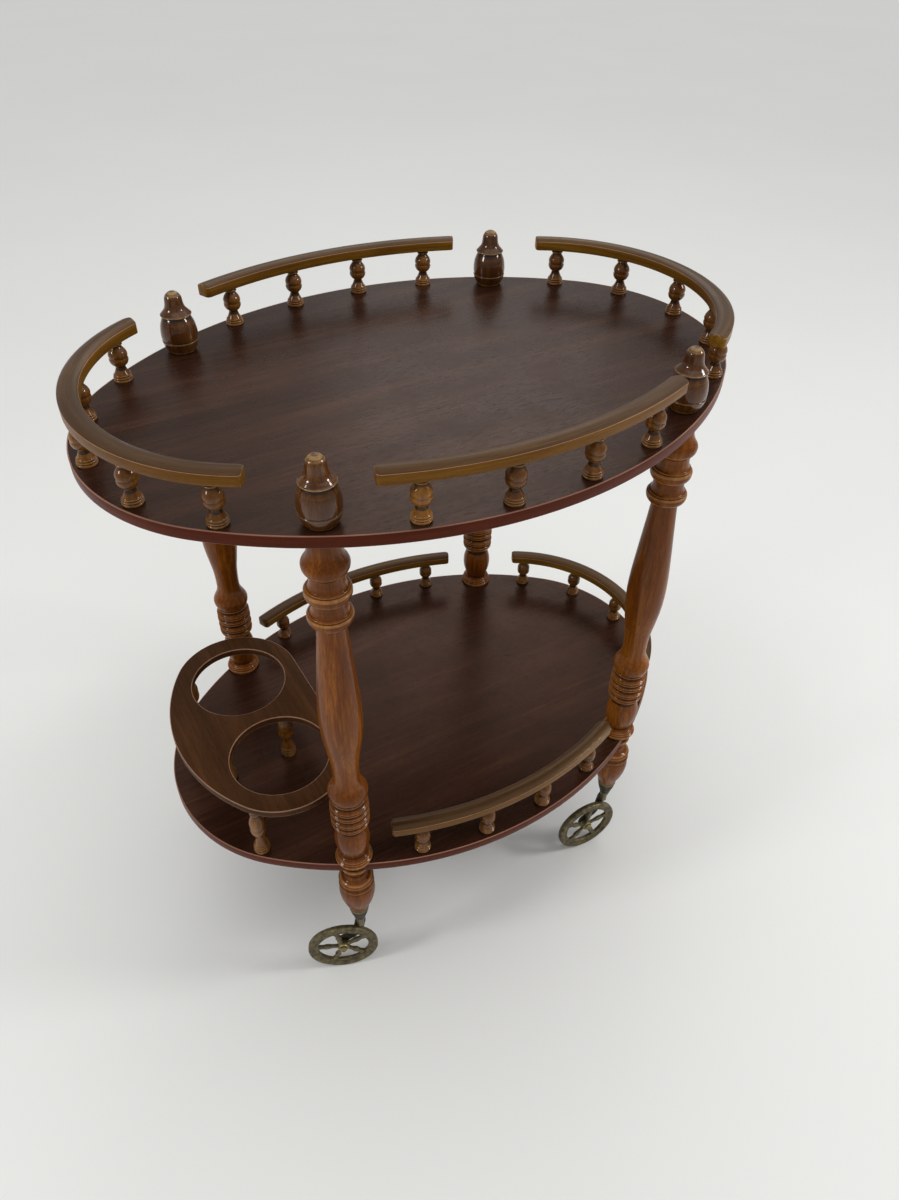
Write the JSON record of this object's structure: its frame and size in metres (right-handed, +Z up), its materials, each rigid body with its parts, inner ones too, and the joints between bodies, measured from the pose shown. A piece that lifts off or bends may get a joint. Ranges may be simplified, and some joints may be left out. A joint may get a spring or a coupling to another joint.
{
  "type": "bar cart",
  "caption": "Oval two-tier bar cart with turned wooden legs, low spindle galleries, a bottle holder and spoked swivel casters.",
  "frame": {"origin": "on the floor, under the middle of the oval boards", "axes": "+X along the boards' long axis, towards the end without the bottle holder; +Y towards the back; +Z up"},
  "size_m": [0.67, 0.475, 0.747],
  "materials": {
    "walnut_board": "satin lacquer",
    "board_lipping": "satin lacquer",
    "turned_legs": "gloss lacquer",
    "finials": "gloss lacquer",
    "dowel_wood": "plain",
    "gallery_rails": "satin lacquer",
    "spindles": "gloss lacquer",
    "holder_plate": "matt lacquer",
    "ferrule_brass": "antique",
    "caster_brass": "antique, darkened",
    "wheel_brass": "antique"
  },
  "bodies": {
    "cart": {"top_board": "walnut_board", "top_band": "board_lipping", "lower_board": "walnut_board", "lower_band": "board_lipping", "column_fl": "turned_legs", "column_bl": "turned_legs", "column_br": "turned_legs", "column_fr": "turned_legs", "finial_fl": "finials", "finial_bl": "finials", "finial_br": "finials", "finial_fr": "finials", "foot_fl": "turned_legs", "foot_bl": "turned_legs", "foot_br": "turned_legs", "foot_fr": "turned_legs", "top_dowels": "dowel_wood", "lower_dowels": "dowel_wood", "top_rail_front": "gallery_rails", "top_rail_back": "gallery_rails", "top_rail_left": "gallery_rails", "top_rail_right": "gallery_rails", "lower_rail_front": "gallery_rails", "lower_rail_back": "gallery_rails", "lower_rail_right": "gallery_rails", "top_spindles_front": "spindles", "top_spindles_back": "spindles", "top_spindles_left": "spindles", "top_spindles_right": "spindles", "lower_spindles_front": "spindles", "lower_spindles_back": "spindles", "lower_spindles_right": "spindles", "bottle_holder": "holder_plate", "holder_spindles": "spindles", "ferrule_fl": "ferrule_brass", "ferrule_bl": "ferrule_brass", "ferrule_br": "ferrule_brass", "ferrule_fr": "ferrule_brass"},
    "caster_fl": {"fork_fl": "caster_brass", "axle_fl": "caster_brass"},
    "wheel_fl": {"wheel_fl": "wheel_brass"},
    "caster_bl": {"fork_bl": "caster_brass", "axle_bl": "caster_brass"},
    "wheel_bl": {"wheel_bl": "wheel_brass"},
    "caster_br": {"fork_br": "caster_brass", "axle_br": "caster_brass"},
    "wheel_br": {"wheel_br": "wheel_brass"},
    "caster_fr": {"fork_fr": "caster_brass", "axle_fr": "caster_brass"},
    "wheel_fr": {"wheel_fr": "wheel_brass"}
  },
  "joints": [
    {"name": "swivel_fl", "type": "hinge", "parent": "cart", "child": "caster_fl", "pos_m": [-0.18532, -0.17179, 0.1], "axis": [0, 0, 1], "continuous": true},
    {"name": "spin_fl", "type": "hinge", "parent": "caster_fl", "child": "wheel_fl", "pos_m": [-0.2087, -0.16558, 0.043], "axis": [-0.3746, -0.9272, 0], "continuous": true},
    {"name": "swivel_bl", "type": "hinge", "parent": "cart", "child": "caster_bl", "pos_m": [-0.18532, 0.17179, 0.1], "axis": [0, 0, 1], "continuous": true},
    {"name": "spin_bl", "type": "hinge", "parent": "caster_bl", "child": "wheel_bl", "pos_m": [-0.20942, 0.17385, 0.043], "axis": [-0.2079, -0.9781, 0], "continuous": true},
    {"name": "swivel_br", "type": "hinge", "parent": "cart", "child": "caster_br", "pos_m": [0.18532, 0.17179, 0.1], "axis": [0, 0, 1], "continuous": true},
    {"name": "spin_br", "type": "hinge", "parent": "caster_br", "child": "wheel_br", "pos_m": [0.16304, 0.18119, 0.043], "axis": [-0.5, -0.866, 0], "continuous": true},
    {"name": "swivel_fr", "type": "hinge", "parent": "cart", "child": "caster_fr", "pos_m": [0.18532, -0.17179, 0.1], "axis": [0, 0, 1], "continuous": true},
    {"name": "spin_fr", "type": "hinge", "parent": "caster_fr", "child": "wheel_fr", "pos_m": [0.16115, -0.17269, 0.043], "axis": [-0.0872, -0.9962, 0], "continuous": true}
  ]
}
